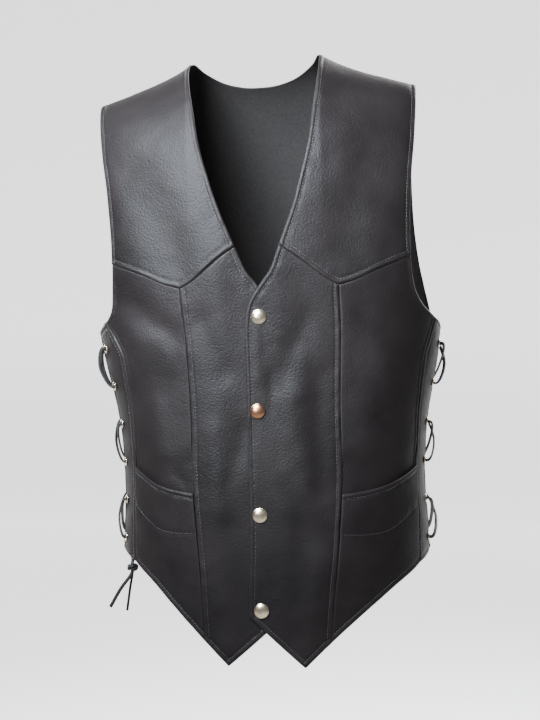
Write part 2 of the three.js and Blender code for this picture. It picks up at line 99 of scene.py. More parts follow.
# Edges and seams of the wearer's left side, as (turn, run)
NECK_EDGE = [
    (34, RIDGE),
    (34, -14),
    (33, -60),
    (31, -98),
    (28.4, -138),
    (24.6, -168),
    (19.5, -198),
    (12, -229),
]
ARMHOLE = [
    (71.3, RIDGE),
    (71.2, -20),
    (70.6, -66),
    (69.2, -114),
    (67.2, -160),
    (65.9, -200),
    (65.4, -236),
]
YOKE_SEAM_INNER = [(12, -229), (19.5, -237), (26.5, -246), (33.5, -256), (39, -261.5)]
YOKE_SEAM_OUTER = [(39, -261.5), (45.8, -257), (53, -249), (59.5, -242), (65.4, -236)]
FRONT_EDGE = [
    (12, -229),
    (7.2, -247),
    (1.8, -258),
    (-3, -268),
    (-6.5, -282),
    (-8.2, -306),
    (-8.2, -350),
    (-8.1, -400),
    (-7.8, -450),
    (-7.4, -500),
    (-7.8, -560),
    (-8, -618),
]
LONG_SEAM = [
    (39, -261.5),
    (38.2, -300),
    (37, -340),
    (35.5, -400),
    (34.4, -460),
    (32.2, -525),
    (30, -585),
    (28.5, -645),
]
STRIP_SEAM = [(74, -297), (68.6, -324), (66.5, -355), (66.3, -460), (65.5, -566)]
STRIP_EDGE = [(84, -308), (82.4, -340), (80.8, -390), (80.5, -450), (80.5, -505), (80.5, -556)]
UNDERARM = [(65.4, -236), (66.3, -264), (68.8, -284), (74, -297)]
POCKET_MOUTH = [(33.7, -485), (42, -482), (50, -477), (58, -468.5), (66.3, -459)]
POCKET_BAG = [(32.1, -528), (42, -529), (50, -526), (58, -514), (66.0, -500)]
FRONT_HEM_INNER = [(-8, -618), (4.8, -645), (17.7, -672)]
FRONT_HEM_OUTER = [(17.7, -672), (28.5, -645)]
SIDE_HEM = [(28.5, -645), (36, -626), (44.5, -605), (54, -584), (65.5, -566)]
BACK_HEM = -558
BACK_NECK = [(146, RIDGE), (149, -6), (157, -34), (168, -47), (180, -50)]
BACK_ARMHOLE = [
    (108.7, RIDGE),
    (109.4, -40),
    (111, -100),
    (112, -160),
    (111.5, -215),
    (108.5, -262),
    (102, -294),
]
BACK_STRIP_SEAM = [(102, -294), (106.4, -326), (108, -360), (108, -426), (108, -492), (108, BACK_HEM)]
BACK_STRIP_EDGE = [(91, -308), (92.6, -340), (94, -390), (94, -448), (94, -504), (94, BACK_HEM)]
# Upright seams with turned edges behind them: kind, line, how far short of its top and of its end
SEAMS_TURNED = [("front", LONG_SEAM, 4, 6), ("side", STRIP_SEAM, 4, 4)]
SNAP_PLACES = [(-0.3, -293), (-2.6, -395), (-2.7, -507), (-2.3, -610)]
LACE_KNOTS = {
    "right": {"turn": 71.5, "run": -575, "out": -4, "tail": 47, "splay": 16},
    "left": {"turn": 75, "run": -508, "out": -13, "tail": 38, "splay": 3},
}
LACE_SLACKNESS = {
    "right": {"stand": 3.0, "cross": 3.0, "over": 3.4},
    "left": {"stand": 4.6, "cross": 4.6, "over": 4.2},
}
KNOT = {"ring": 3.4 * LACE["radius"], "lobe": 1.0, "squash": 0.8, "depth": 1.9, "points": 97}
LACE_SLACK = {"turn": 0.5, "run": 0.4, "in": 4}
# Each end through the knot and down: away, drop, share of the tail, extra length, spread, apart
TAIL_ROUTE = [
    (1.8, -5, 0, 0, 0, 0),
    (1.8, 5, 0, 0, 0, 0),
    (5, 0, 0.5, 0, 0.5, 0.28),
    (7, 0, 1, 3, 0.98, 0.52),
]
SIDES = {"left": 1, "right": -1}


def smoothstep(x, low, high):
    t = np.clip((x - low) / (high - low), 0, 1)
    return t * t * (3 - 2 * t)


# The form
def section_at(height):
    place = np.clip((CHEST - height) / SECTION_STEP, 0, len(SECTIONS) - 1.001)
    row = np.floor(place).astype(int)
    t = (place - row)[..., None]

    def value(i):
        return SECTIONS[np.clip(i, 0, len(SECTIONS) - 1)]

    slope_in = (value(row + 1) - value(row - 1)) / 2
    slope_out = (value(row + 2) - value(row)) / 2
    rise = value(row + 1) - value(row)
    bend = (slope_in + slope_out - 2 * rise) * t**3 + (3 * rise - 2 * slope_in - slope_out) * t**2
    return value(row) + slope_in * t + bend


def shoulder_height(x):
    out = np.maximum(np.abs(x) - SHOULDER["neck"], 0)
    return -(SHOULDER["slope"] * out + SHOULDER["drop"] * (1 - np.exp(-out / SHOULDER["ease"])))


def stand(x, y, z):
    rise = np.clip(1 + z / STANCE["reach"], 0, 1.1)
    tip = STANCE["tip"] * rise ** STANCE["tip_power"]
    shift = STANCE["lean"] * (1 - rise ** STANCE["lean_power"])
    return np.stack([shift + x * np.cos(tip), y, z + x * np.sin(tip)], -1)


def form(turn, run):
    settle = smoothstep(-run, SIDE_TURN["from"], SIDE_TURN["to"])
    angle = np.radians(turn + SIDE_TURN["most"] * settle * np.sin(np.radians(turn)) ** 4)
    half, front, back = np.moveaxis(section_at(np.minimum(run, CHEST)), -1, 0)
    depth = np.where(np.cos(angle) > 0, front, back)
    across = (np.abs(np.sin(angle)) / half) ** SQUARENESS
    along = (np.abs(np.cos(angle)) / depth) ** SQUARENESS
    radius = (across + along) ** (-1 / SQUARENESS)
    x, y = radius * np.sin(angle), -radius * np.cos(angle)
    over = np.clip((run - CHEST) / SHOULDER_RUN, 0, None) * (np.pi / 2)
    above = CHEST + (shoulder_height(x) - CHEST) * np.sin(over)
    return stand(x, y * np.cos(over), np.where(run <= CHEST, run, above))


def line_height(turn, run, lines):
    """Soft ridges and valleys along lines from one place to another."""
    height = np.zeros(np.shape(turn))
    for from_turn, from_run, to_turn, to_run, width, rise in lines:
        along = np.array([(to_turn - from_turn) * TURN_MM, to_run - from_run], float)
        away = np.stack([(turn - from_turn) * TURN_MM, run - from_run], -1)
        share = np.clip(away @ along / (along @ along), 0, 1)
        distance = np.linalg.norm(away - share[..., None] * along, axis=-1)
        height += rise * np.exp(-((distance / width) ** 2))
    return height


def unit(vectors):
    return vectors / np.maximum(np.linalg.norm(vectors, axis=-1, keepdims=True), 1e-12)


def leather_frame(turn, run):
    turn, run = np.asarray(turn, float), np.asarray(run, float)
    nudge = 0.05
    around = form(turn + nudge, run) - form(turn - nudge, run)
    up = form(turn, run + nudge) - form(turn, run - nudge)
    return form(turn, run), unit(np.cross(around, up)), unit(up)


def leather_point(turn, run, out):
    point, normal, _ = leather_frame(turn, run)
    fold = line_height(np.asarray(turn), np.asarray(run), FOLDS)
    return point + normal * np.asarray(out + fold)[..., None]


# Edges of panels
def curve(rows):
    """A smooth line through a table's rows, each step between two rows counting alike."""
    rows = np.array(rows, float)

    def at(share):
        place = np.clip(share, 0, 1) * (len(rows) - 1)
        row = np.minimum(np.floor(place).astype(int), len(rows) - 2)
        t = (place - row)[..., None]
        before, here = rows[np.maximum(row - 1, 0)], rows[row]
        there, after = rows[row + 1], rows[np.minimum(row + 2, len(rows) - 1)]
        slope_in, slope_out, rise = (there - before) / 2, (after - here) / 2, there - here
        cubic = (slope_in + slope_out - 2 * rise) * t**3
        square = (3 * rise - 2 * slope_in - slope_out) * t**2
        return here + slope_in * t + cubic + square

    return at


def joined(first, second, split):
    """Two lines that meet in a corner, the first up to the given share."""

    def at(share):
        share = np.asarray(share, float)
        low = curve(first)(np.clip(share / split, 0, 1))
        high = curve(second)(np.clip((share - split) / (1 - split), 0, 1))
        return np.where((share <= split)[..., None], low, high)

    return at


def seam(rows, top, bottom):
    """The part of an upright seam between two runs."""
    fine = curve(rows)(np.linspace(0, 1, 400))

    def at(share):
        run = top + (bottom - top) * np.asarray(share, float)
        return np.stack([np.interp(-run, -fine[:, 1], fine[:, 0]), run], -1)

    return at


def other_half(rows):
    return [(360 - turn, run) for turn, run in rows]


def coons(edges, u, v):
    """Places between a panel's four edges, for shares u across and v down."""
    top, bottom, left, right = (edges[key] for key in ("top", "bottom", "left", "right"))
    uu, vv = np.meshgrid(u, v)
    zero, one = np.zeros(1), np.ones(1)
    across = left(v)[:, None] * (1 - uu[..., None]) + right(v)[:, None] * uu[..., None]
    down = top(u)[None] * (1 - vv[..., None]) + bottom(u)[None] * vv[..., None]
    upper = top(zero) * (1 - uu[..., None]) + top(one) * uu[..., None]
    lower = bottom(zero) * (1 - uu[..., None]) + bottom(one) * uu[..., None]
    return across + down - (upper * (1 - vv[..., None]) + lower * vv[..., None]), uu, vv


# Surface detail
CELL = 2.4
BACK_CELL = 3.4
CLOSE_STEPS = np.array([0, 0.3, 0.7, 1.2, 1.9, 2.9, 4.1, 5.0, 6.0, 7.4])
EDGE_ROUND = 1.5
EDGE_FADE = 2.5
WEAR_REACH = 2.2
LINE_POINTS = 60
LINE_SEED = 3
# Across a sewn edge: height, distance in from the edge, half width
SWELL = {"height": 0.32, "at": 2.8, "width": 1.9}
SINK = {"height": -0.6, "width": 1.1}
PUCKER = {"at": 4, "width": 6.5, "tilt": 0.6, "apart": 7.3}
# Humps of the leather: height, size, seed
PUCKER_HUMPS = [(0.34, 9, 20), (0.2, 4.6, 40)]
ROLLING = [(0.55, 46, 3), (0.28, 21, 5), (0.1, 9, 8)]
STITCH = {"inset": 5.6, "pitch": 3.7, "long": 2.7, "radius": 0.34, "arch": 0.42}


def shares(length, cell):
    """Steps across a panel, close together near its edges, where the leather is turned and sewn."""
    middle = length - 2 * CLOSE_STEPS[-1]
    count = max(2, round(middle / cell))
    inner = CLOSE_STEPS[-1] + middle * np.arange(1, count) / count
    return np.concatenate([CLOSE_STEPS, inner, length - CLOSE_STEPS[::-1]]) / length


def noise(points, size, seed):
    """Smooth noise from -1 to 1 with humps of the given size."""
    lattice = np.random.default_rng(seed).uniform(-1, 1, (32, 32, 32))
    place = points / size
    cell = np.floor(place).astype(int)
    t = place - cell
    t = t**3 * (t * (6 * t - 15) + 10)
    total = np.zeros(points.shape[:-1])
    for corner in np.ndindex(2, 2, 2):
        weight = np.prod(np.where(corner, t, 1 - t), axis=-1)
        total += weight * lattice[tuple(np.moveaxis((cell + corner) % 32, -1, 0))]
    return total


def nearest_on(line, points):
    """How far each point is from a line of points, and how far along the line its nearest place is."""
    flat = points.reshape(-1, 3)
    along = np.concatenate([[0], np.cumsum(np.linalg.norm(np.diff(line, axis=0), axis=1))])
    square = (flat**2).sum(1)[:, None] + (line**2).sum(1)[None] - 2 * flat @ line.T
    closest = square.argmin(1)
    low, high = np.maximum(closest - 1, 0), np.minimum(closest + 1, len(line) - 1)
    best = np.full(len(flat), np.inf)
    place = np.zeros(len(flat))
    for a, b in ((low, closest), (closest, high)):
        step = line[b] - line[a]
        size = np.maximum((step**2).sum(1), 1e-12)
        t = np.clip(((flat - line[a]) * step).sum(1) / size, 0, 1)
        far = np.linalg.norm(line[a] + t[:, None] * step - flat, axis=1)
        better = far < best
        best = np.where(better, far, best)
        place = np.where(better, along[a] + t * (along[b] - along[a]), place)
    return best.reshape(points.shape[:-1]), place.reshape(points.shape[:-1])


# Creases of the worn leather, finer than the part's own folds, on the wearer's own turn
CREASES = [
    (-62, -274, -44, -312, 17, -2.8),
    (-70, -318, -49, -318, 13, 0.9),
    (-47.5, -360, -47, -425, 15, -1.1),
    (-55, -446, -41, -446, 13, 0.9),
    (-42, -466, -38, -474, 6, -0.7),
    (-22.5, -262, -26, -382, 26, 1.3),
    (-9, -412, -18.5, -482, 13, -0.9),
    (-1.2, -296, -2.4, -362, 7, 0.6),
    (4.5, -358, 4, -392, 8, -0.8),
    (-6.2, -412, -6.6, -482, 3, -0.5),
    (25, -296, 8, -366, 17, 1.5),
    (22, -318, 20.5, -372, 10, 0.5),
    (16.5, -345, 14.5, -420, 15, 0.7),
    (28, -362, 25, -482, 12, -1.1),
    (14, -470, 17, -570, 16, -0.7),
    (-18, -520, -25, -600, 14, -0.7),
    (52, -350, 58, -420, 16, 0.8),
    (46, -300, 60, -330, 11, -0.7),
]


def humps(points, rows, shift=0):
    """Smooth unevenness, the sum of noise of several sizes."""
    return sum(height * noise(points, size, seed + shift) for height, size, seed in rows)


def ridge_at(distance, at, width):
    return np.exp(-(((distance - at) / width) ** 2))


def sewn(distance, place, seed):
    """How the leather swells beside a sewn edge, sinks under its stitches and puckers along them."""
    swell = SWELL["height"] * ridge_at(distance, SWELL["at"], SWELL["width"])
    sink = SINK["height"] * ridge_at(distance, STITCH["inset"], SINK["width"])
    row = np.full_like(place, seed * PUCKER["apart"])
    line = np.stack([place, row, distance * PUCKER["tilt"]], -1)
    pucker = humps(line, PUCKER_HUMPS, seed) * ridge_at(distance, PUCKER["at"], PUCKER["width"])
    return swell + sink + pucker


def mesh_object(name, vertices, faces, materials, face_material=None):
    mesh = bpy.data.meshes.new(name)
    mesh.from_pydata((np.asarray(vertices) * MM).tolist(), [], faces)
    for material in materials:
        mesh.materials.append(material)
    if face_material is not None:
        mesh.polygons.foreach_set("material_index", np.asarray(face_material, np.int32))
    mesh.shade_smooth()
    mesh.update()
    made = bpy.data.objects.new(name, mesh)
    bpy.context.scene.collection.objects.link(made)
    return made


def leather_panel(
    name, edges, side, out, sewn_edges, stitch_edges, materials, cell=CELL, line=None
):
    """One cut piece: a thin closed shell with rounded edges, swollen and sunk where it is sewn."""
    coarse, _, _ = coons(edges, np.linspace(0, 1, 9), np.linspace(0, 1, 13))
    rough = form(side * coarse[..., 0], coarse[..., 1])
    width = np.linalg.norm(np.diff(rough, axis=1), axis=-1).sum(1).mean()
    length = np.linalg.norm(np.diff(rough, axis=0), axis=-1).sum(0).mean()
    u, v = shares(width, cell), shares(length, cell)
    places, uu, vv = coons(edges, u, v)
    turn, run = side * places[..., 0], places[..., 1]
    point, normal, _ = leather_frame(turn, run)
    point = point + normal * (line_height(turn, run, FOLDS) + out(places[..., 0], run, uu, vv))[..., None]
    borders = {"top": point[0], "bottom": point[-1], "left": point[:, 0], "right": point[:, -1]}
    fields = {key: nearest_on(border, point) for key, border in borders.items()}
    nearest = np.min([fields[key][0] for key in borders], axis=0)
    cap = np.sqrt(1 - (1 - np.clip(nearest / EDGE_ROUND, 0, 1)) ** 2)
    creases = line_height(turn, run, CREASES)
    detail = humps(point, ROLLING) + creases
    for number, key in enumerate(sewn_edges):
        detail = detail + sewn(*fields[key], len(name) + number)
    if line:
        across, along = curve(line)(np.linspace(0, 1, LINE_POINTS)).T
        sewn_line = leather_point(side * across, along, np.full(len(across), LAYER_STEP / 2))
        away, place = nearest_on(sewn_line, point)
        detail = detail + sewn(away + STITCH["inset"] - 1, place, LINE_SEED)
    fade = smoothstep(nearest, 0, EDGE_FADE)
    detail *= fade * 0.85 + 0.15
    outer = point + normal * (LEATHER / 2 * (cap - 1) + detail)[..., None]
    slow = (humps(point, ROLLING[:1]) + creases) * fade
    inner = point + normal * (-LEATHER / 2 * (1 + cap) + slow)[..., None]
    meet(outer)
    made = shell(name, outer, inner, side, materials)
    add_wear(made, np.exp(-nearest / WEAR_REACH))
    threads = []
    for key in stitch_edges:
        threads += stitches_on(made, inset_line(borders[key], point, key))
    if line:
        threads += stitches_on(made, sewn_line)
    return made, threads


def meet(grid):
    """Edges reach out by half a seam's gap, so sewn pieces touch."""
    steps = [
        (np.s_[0], np.s_[1]),
        (np.s_[-1], np.s_[-2]),
        (np.s_[:, 0], np.s_[:, 1]),
        (np.s_[:, -1], np.s_[:, -2]),
    ]
    moves = [(edge, unit(grid[edge] - grid[inner]) * SEAM_GAP / 2) for edge, inner in steps]
    for edge, move in moves:
        grid[edge] += move


def shell(name, outer, inner, side, materials):
    """Two faces that share their rim."""
    rows, cols = outer.shape[:2]
    outer_id = np.arange(rows * cols).reshape(rows, cols)
    inner_id = outer_id.copy()
    inner_id[1:-1, 1:-1] = rows * cols + np.arange((rows - 2) * (cols - 2)).reshape(rows - 2, cols - 2)

    def quads(ids, flip):
        a, b, c, d = ids[:-1, :-1], ids[1:, :-1], ids[1:, 1:], ids[:-1, 1:]
        order = (a, d, c, b) if flip else (a, b, c, d)
        return np.stack([corner.ravel() for corner in order], -1)

    vertices = np.concatenate([outer.reshape(-1, 3), inner[1:-1, 1:-1].reshape(-1, 3)])
    outside, inside = quads(outer_id, side < 0), quads(inner_id, side > 0)
    faces = np.concatenate([outside, inside]).tolist()
    kinds = np.concatenate([np.zeros(len(outside)), np.ones(len(inside))])
    return mesh_object(name, vertices, faces, materials, kinds)


def add_wear(made, wear):
    """Rubbed edges on the outer face, and none on the inner one."""
    inner = np.zeros(len(made.data.vertices) - wear.size)
    attribute = made.data.attributes.new("wear", "FLOAT", "POINT")
    attribute.data.foreach_set("value", np.concatenate([wear.ravel(), inner]).astype(np.float32))


# Stitches
def tree_of(made):
    mesh = made.data
    return BVHTree.FromPolygons([v.co for v in mesh.vertices], [tuple(p.vertices) for p in mesh.polygons])


def resampled(line, step):
    along = np.concatenate([[0], np.cumsum(np.linalg.norm(np.diff(line, axis=0), axis=1))])
    count = max(2, round(along[-1] / step))
    at = np.linspace(0, along[-1], count + 1)
    return np.stack([np.interp(at, along, line[:, axis]) for axis in range(3)], -1)


def inset_line(border, point, key):
    """A line at the stitches' distance in from an edge."""
    inner = {"top": point[3], "bottom": point[-4], "left": point[:, 3], "right": point[:, -4]}[key]
    away = inner - border
    tangent = unit(np.gradient(border, axis=0))
    return border + unit(away - (away * tangent).sum(1, keepdims=True) * tangent) * STITCH["inset"]


def stitches_on(made, line):
    """Stitches laid on the finished surface along a line."""
    tree = tree_of(made)
    found = [tree.find_nearest(Vector(p * MM)) for p in resampled(line, STITCH["pitch"])[1:-1]]
    spots = np.array([list(f[0]) for f in found]) / MM
    normals = np.array([list(f[1]) for f in found])
    return list(zip(spots[:-1], spots[1:], unit(normals[:-1] + normals[1:])))


def thread_mesh(name, stitches, material):
    """Each stitch is a short arched run of thread whose two ends dip into the leather."""
    sides, rings = 6, np.array([0, 0.18, 0.5, 0.82, 1])
    height = np.array([-0.35, 0.1, STITCH["arch"], 0.1, -0.35])
    vertices, faces = [], []
    for a, b, normal in stitches:
        middle, span = (a + b) / 2, (b - a)
        way = span / max(np.linalg.norm(span), 1e-9)
        across = np.cross(normal, way)
        start = middle - way * STITCH["long"] / 2
        first = len(vertices)
        for share, lift in zip(rings, height):
            centre = start + way * STITCH["long"] * share + normal * lift * 0.6
            for k in range(sides):
                angle = 2 * np.pi * k / sides
                vertices.append(
                    centre + STITCH["radius"] * (np.cos(angle) * across + np.sin(angle) * normal)
                )
        for ring in range(len(rings) - 1):
            for k in range(sides):
                low, high = first + ring * sides, first + (ring + 1) * sides
                faces.append((low + k, low + (k + 1) % sides, high + (k + 1) % sides, high + k))
        faces.append(tuple(first + k for k in reversed(range(sides))))
        faces.append(tuple(first + (len(rings) - 1) * sides + k for k in range(sides)))
    return mesh_object(name, vertices, faces, [material])


# Materials
def new_material(name):
    material = bpy.data.materials.new(name)
    material.use_nodes = True
    nodes = material.node_tree.nodes
    return material, nodes, material.node_tree.links, nodes["Principled BSDF"]


def node(nodes, kind, values=None, **settings):
    made = nodes.new(kind)
    for key, value in settings.items():
        setattr(made, key, value)
    for key, value in (values or {}).items():
        made.inputs[key].default_value = value
    return made


def ramp(nodes, stops):
    made = nodes.new("ShaderNodeValToRGB")
    elements = made.color_ramp.elements
    while len(elements) < len(stops):
        elements.new(0.5)
    for element, (place, level) in zip(elements, stops):
        element.position = place
        element.color = (*level, 1) if isinstance(level, tuple) else (level, level, level, 1)
    return made


def leather_material(name, dark, light, roughness, grain):
    """Pebbled leather: small cells with creases between them, uneven colour and edges rubbed lighter."""
    material, nodes, links, shader = new_material(name)
    place = node(nodes, "ShaderNodeTexCoord").outputs["Object"]
    pebbles = {"Scale": 1000 / grain, "Randomness": 0.9}
    cells = node(nodes, "ShaderNodeTexVoronoi", pebbles, feature="SMOOTH_F1")
    cloud = node(nodes, "ShaderNodeTexNoise", {"Scale": 16, "Detail": 4, "Roughness": 0.6})
    fine = node(nodes, "ShaderNodeTexNoise", {"Scale": 900, "Detail": 3, "Roughness": 0.6})
    for texture in (cells, cloud, fine):
        links.new(place, texture.inputs["Vector"])
    tint = ramp(nodes, [(0.3, dark), (0.72, light)])
    links.new(cloud.outputs["Fac"], tint.inputs["Fac"])
    wear = node(nodes, "ShaderNodeAttribute", attribute_name="wear", attribute_type="GEOMETRY")
    worn = node(nodes, "ShaderNodeMix", data_type="RGBA", blend_type="MIX")
    strength = node(nodes, "ShaderNodeMath", {1: 0.18}, operation="MULTIPLY")
    links.new(wear.outputs["Fac"], strength.inputs[0])
    links.new(strength.outputs[0], worn.inputs["Factor"])
    links.new(tint.outputs["Color"], worn.inputs["A"])
    worn.inputs["B"].default_value = (*(min(1, 2.2 * c + 0.004) for c in light), 1)
    links.new(worn.outputs["Result"], shader.inputs["Base Color"])
    gloss = node(nodes, "ShaderNodeMapRange", {"To Min": roughness - 0.07, "To Max": roughness + 0.09})
    links.new(cloud.outputs["Fac"], gloss.inputs["Value"])
    links.new(gloss.outputs["Result"], shader.inputs["Roughness"])
    pebble = node(nodes, "ShaderNodeBump", {"Strength": 0.75, "Distance": 0.0004}, invert=True)
    micro = node(nodes, "ShaderNodeBump", {"Strength": 0.35, "Distance": 0.00012})
    links.new(cells.outputs["Distance"], pebble.inputs["Height"])
    links.new(fine.outputs["Fac"], micro.inputs["Height"])
    links.new(pebble.outputs["Normal"], micro.inputs["Normal"])
    links.new(micro.outputs["Normal"], shader.inputs["Normal"])
    shader.inputs["Specular IOR Level"].default_value = 0.12
    return material


def flesh_material():
    """The inside of the leather, matt and fibrous."""
    material, nodes, links, shader = new_material("flesh_side")
    place = node(nodes, "ShaderNodeTexCoord").outputs["Object"]
    fibre = node(nodes, "ShaderNodeTexNoise", {"Scale": 420, "Detail": 6, "Roughness": 0.7})
    links.new(place, fibre.inputs["Vector"])
    tint = ramp(nodes, [(0.25, (0.007, 0.0065, 0.0065)), (0.75, (0.019, 0.017, 0.016))])
    links.new(fibre.outputs["Fac"], tint.inputs["Fac"])
    links.new(tint.outputs["Color"], shader.inputs["Base Color"])
    bump = node(nodes, "ShaderNodeBump", {"Strength": 0.6, "Distance": 0.0003})
    links.new(fibre.outputs["Fac"], bump.inputs["Height"])
    links.new(bump.outputs["Normal"], shader.inputs["Normal"])
    rough = node(nodes, "ShaderNodeMapRange", {"To Min": 0.82, "To Max": 0.98})
    links.new(fibre.outputs["Fac"], rough.inputs["Value"])
    links.new(rough.outputs["Result"], shader.inputs["Roughness"])
    shader.inputs["Specular IOR Level"].default_value = 0.1
    return material


def metal_material(name, clean, dull):
    """Nickel plate with faint scratches and a warm film where it has been handled."""
    material, nodes, links, shader = new_material(name)
    place = node(nodes, "ShaderNodeTexCoord").outputs["Object"]
    cloud = node(nodes, "ShaderNodeTexNoise", {"Scale": 190, "Detail": 5, "Roughness": 0.65})
    scratch = node(nodes, "ShaderNodeTexNoise", {"Scale": 1500, "Detail": 2, "Distortion": 1.5})
    links.new(place, cloud.inputs["Vector"])
    links.new(place, scratch.inputs["Vector"])
    tint = ramp(nodes, [(0.35, clean), (0.7, dull)])
    links.new(cloud.outputs["Fac"], tint.inputs["Fac"])
    links.new(tint.outputs["Color"], shader.inputs["Base Color"])
    rough = node(nodes, "ShaderNodeMapRange", {"To Min": 0.14, "To Max": 0.34})
    links.new(cloud.outputs["Fac"], rough.inputs["Value"])
    links.new(rough.outputs["Result"], shader.inputs["Roughness"])
    bump = node(nodes, "ShaderNodeBump", {"Strength": 0.12, "Distance": 0.00005})
    links.new(scratch.outputs["Fac"], bump.inputs["Height"])
    links.new(bump.outputs["Normal"], shader.inputs["Normal"])
    shader.inputs["Metallic"].default_value = 1.0
    return material


def thread_material():
    """Waxed black thread, its twist showing as fine bands."""
    material, nodes, links, shader = new_material("thread")
    place = node(nodes, "ShaderNodeTexCoord").outputs["Object"]
    twist = node(nodes, "ShaderNodeTexNoise", {"Scale": 1600, "Detail": 2})
    links.new(place, twist.inputs["Vector"])
    tint = ramp(nodes, [(0.3, (0.006, 0.006, 0.0065)), (0.7, (0.018, 0.0175, 0.018))])
    links.new(twist.outputs["Fac"], tint.inputs["Fac"])
    links.new(tint.outputs["Color"], shader.inputs["Base Color"])
    rough = node(nodes, "ShaderNodeMapRange", {"To Min": 0.42, "To Max": 0.6})
    links.new(twist.outputs["Fac"], rough.inputs["Value"])
    links.new(rough.outputs["Result"], shader.inputs["Roughness"])
    return material


# The front leather's reddish brown tint is partly the leather's own brown-black and partly a painted
# reflection of the red shirt worn under the vest, which is not built
FRONT_LEATHER = leather_material(
    "front_leather",
    dark=(0.0042, 0.0032, 0.0032),
    light=(0.0085, 0.0064, 0.0064),
    roughness=0.5,
    grain=2.0,
)
BACK_LEATHER = leather_material(
    "back_leather",
    dark=(0.0042, 0.0038, 0.0038),
    light=(0.008, 0.007, 0.007),
    roughness=0.5,
    grain=2.0,
)
LACE_LEATHER = leather_material(
    "lace_leather",
    dark=(0.006, 0.006, 0.0065),
    light=(0.012, 0.0115, 0.012),
    roughness=0.46,
    grain=0.9,
)
FLESH = flesh_material()
NICKEL = metal_material("nickel", (0.76, 0.68, 0.53), (0.5, 0.38, 0.24))
# Reddish copper-coloured metal for one snap cap
REDDISH_CAP_METAL = metal_material("reddish_cap_metal", (0.5, 0.27, 0.16), (0.34, 0.15, 0.08))
THREAD = thread_material()


# The panels
def lap_out(side):
    return lambda turn, run, u, v: side * LAYER_STEP / 2 * (1 - smoothstep(turn, 9, 24))


def yoke_out(turn, run, u, v):
    return YOKE_LAP * smoothstep(v, 1 - YOKE_LAP_REACH / SHOULDER_RUN, 1)


def bag_out(turn, run, u, v):
    return -LAYER_STEP / 2 * smoothstep(-run, 430, 455)


def pocket_out(turn, run, u, v):
    layer = LAYER_STEP / 2 * (1 - smoothstep(v, 0.3, 0.8))
    return layer + MOUTH_GAPE * np.sin(np.pi * u) ** 2 * (1 - smoothstep(v, 0, 0.25))


def no_out(turn, run, u, v):
    return np.zeros_like(turn)


def behind(turn, run, u, v):
    return np.full_like(turn, -LEATHER)


def strip_right(share):
    under = curve(UNDERARM)
    low = seam(STRIP_SEAM, UNDERARM[-1][1], POCKET_BAG[-1][1])
    share = np.asarray(share, float)
    split = 3 / 8
    upper = under(np.clip(share / split, 0, 1))
    lower = low(np.clip((share - split) / (1 - split), 0, 1))
    return np.where((share <= split)[..., None], upper, lower)


def front_cuts(side):
    """The pieces of one side: edges, way out, sewn and stitched edges, flat size and flat area."""
    return {
        "yoke": {
            "top": curve([NECK_EDGE[0], ARMHOLE[0]]),
            "bottom": joined(YOKE_SEAM_INNER, YOKE_SEAM_OUTER, 0.5),
            "left": curve(NECK_EDGE),
            "right": curve(ARMHOLE),
            "out": yoke_out,
            "sewn": ("bottom", "left", "right"),
            "stitched": ("bottom", "left", "right"),
            "flat": (0.205, 0.3),
            "area": 0.033,
        },
        "front_centre": {
            "top": curve(YOKE_SEAM_INNER),
            "bottom": joined(FRONT_HEM_INNER, FRONT_HEM_OUTER, 2 / 3),
            "left": curve(FRONT_EDGE),
            "right": seam(LONG_SEAM, LONG_SEAM[0][1], LONG_SEAM[-1][1]),
            "out": lap_out(side),
            "sewn": ("bottom", "left", "right"),
            "stitched": ("bottom", "left", "right"),
            "flat": (0.115, 0.465),
            "area": 0.0405,
        },
        "front_side": {
            "top": curve(YOKE_SEAM_OUTER),
            "bottom": curve(POCKET_BAG),
            "left": seam(LONG_SEAM, LONG_SEAM[0][1], POCKET_BAG[0][1]),
            "right": strip_right,
            "out": bag_out,
            "sewn": ("right",),
            "stitched": (),
            "flat": (0.13, 0.31),
            "area": 0.0265,
        },
        "pocket_front": {
            "top": curve(POCKET_MOUTH),
            "bottom": curve(SIDE_HEM),
            "left": seam(LONG_SEAM, POCKET_MOUTH[0][1], SIDE_HEM[0][1]),
            "right": seam(STRIP_SEAM, POCKET_MOUTH[-1][1], SIDE_HEM[-1][1]),
            "out": pocket_out,
            "sewn": ("top", "bottom"),
            "stitched": ("top", "bottom"),
            "flat": (0.115, 0.185),
            "area": 0.0128,
            "line": POCKET_BAG,
        },
        "strip_front": {
            "top": curve([STRIP_SEAM[0], STRIP_EDGE[0]]),
            "bottom": curve([STRIP_SEAM[-1], STRIP_EDGE[-1]]),
            "left": seam(STRIP_SEAM, STRIP_SEAM[0][1], STRIP_SEAM[-1][1]),
            "right": curve(STRIP_EDGE),
            "out": no_out,
            "sewn": ("left", "right", "top", "bottom"),
            "stitched": ("left", "right"),
            "flat": (0.05, 0.27),
            "area": 0.0121,
        },
        "strip_back": {
            "top": curve([BACK_STRIP_EDGE[0], BACK_STRIP_SEAM[0]]),
            "bottom": curve([BACK_STRIP_EDGE[-1], BACK_STRIP_SEAM[-1]]),
            "left": curve(BACK_STRIP_EDGE),
            "right": curve(BACK_STRIP_SEAM),
            "out": no_out,
            "sewn": ("left", "right", "top", "bottom"),
            "stitched": ("left", "right"),
            "flat": (0.05, 0.265),
            "area": 0.0118,
        },
    }


def finish_panel(made, stands_for, threads):
    """Every panel rides on the one body and stands for its solid."""
    if threads:
        sewing = thread_mesh("stitches_" + made.name, threads, THREAD)
        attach(sewing, "root")
    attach(made, "root")
    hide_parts(stands_for)


def build_front(name, side):
    for piece, cut in front_cuts(side).items():
        skin = BACK_LEATHER if piece == "strip_back" else FRONT_LEATHER
        made, threads = leather_panel(
            f"leather_{piece}_{name}",
            cut,
            side,
            cut["out"],
            cut["sewn"],
            cut["stitched"],
            [skin, FLESH],
            line=cut.get("line"),
        )
        finish_panel(made, f"{piece}_{name}", threads)


